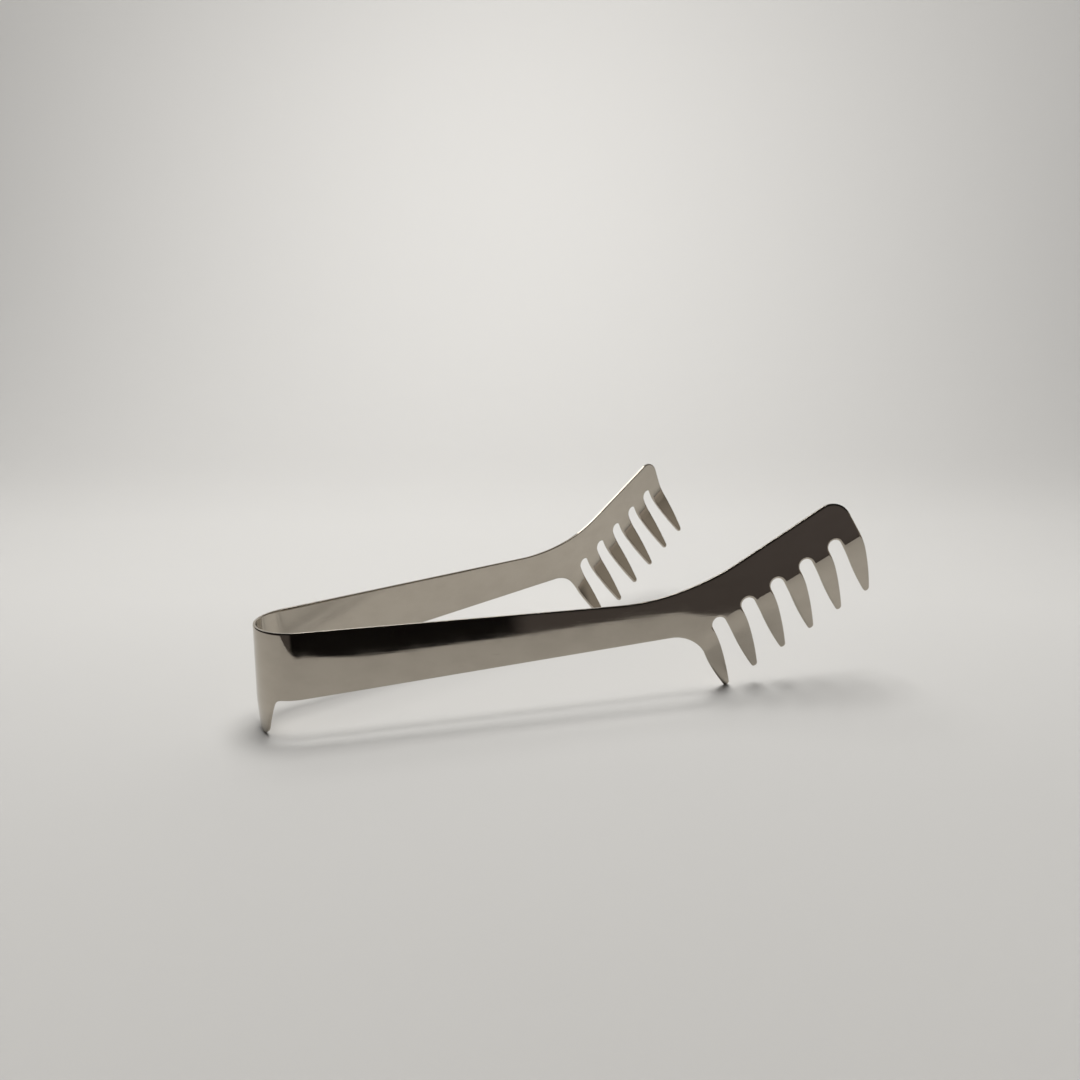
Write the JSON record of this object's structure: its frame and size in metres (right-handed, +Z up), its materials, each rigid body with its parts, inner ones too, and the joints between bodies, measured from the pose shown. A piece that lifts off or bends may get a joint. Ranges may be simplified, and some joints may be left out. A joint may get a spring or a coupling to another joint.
{
  "type": "spaghetti tongs",
  "caption": "One-piece spring steel spaghetti tongs: a bow with a rear foot, two tapering arms and upswept comb heads with inward-curved tines.",
  "frame": {"origin": "middle of the tongs' length and width, on the table that the foot and the first tines stand on", "axes": "+X from the bow to the tines, +Y to the left arm, +Z up from the table"},
  "size_m": [0.2036, 0.1186, 0.065],
  "materials": {
    "polished_steel": "mirror polished, with fine wipe marks and slightly rounded edges"
  },
  "bodies": {
    "bow": {"spring_bow": "polished_steel", "rear_foot": "polished_steel"},
    "left_half": {"left_arm": "polished_steel", "left_comb": "polished_steel"},
    "right_half": {"right_arm": "polished_steel", "right_comb": "polished_steel"}
  },
  "joints": [
    {"name": "left_squeeze", "type": "hinge", "parent": "bow", "child": "left_half", "pos_m": [-0.08988, 0.01282, 0.02398], "axis": [0, 0, -1], "range_deg": [-3, 15.7], "stiffness_Nm_per_rad": 7},
    {"name": "right_squeeze", "type": "hinge", "parent": "bow", "child": "right_half", "pos_m": [-0.08988, -0.01282, 0.02398], "axis": [0, 0, 1], "range_deg": [-3, 15.7], "stiffness_Nm_per_rad": 7}
  ],
  "couplings": [
    {"joint": "right_squeeze", "follows": "left_squeeze", "ratio": 1}
  ]
}
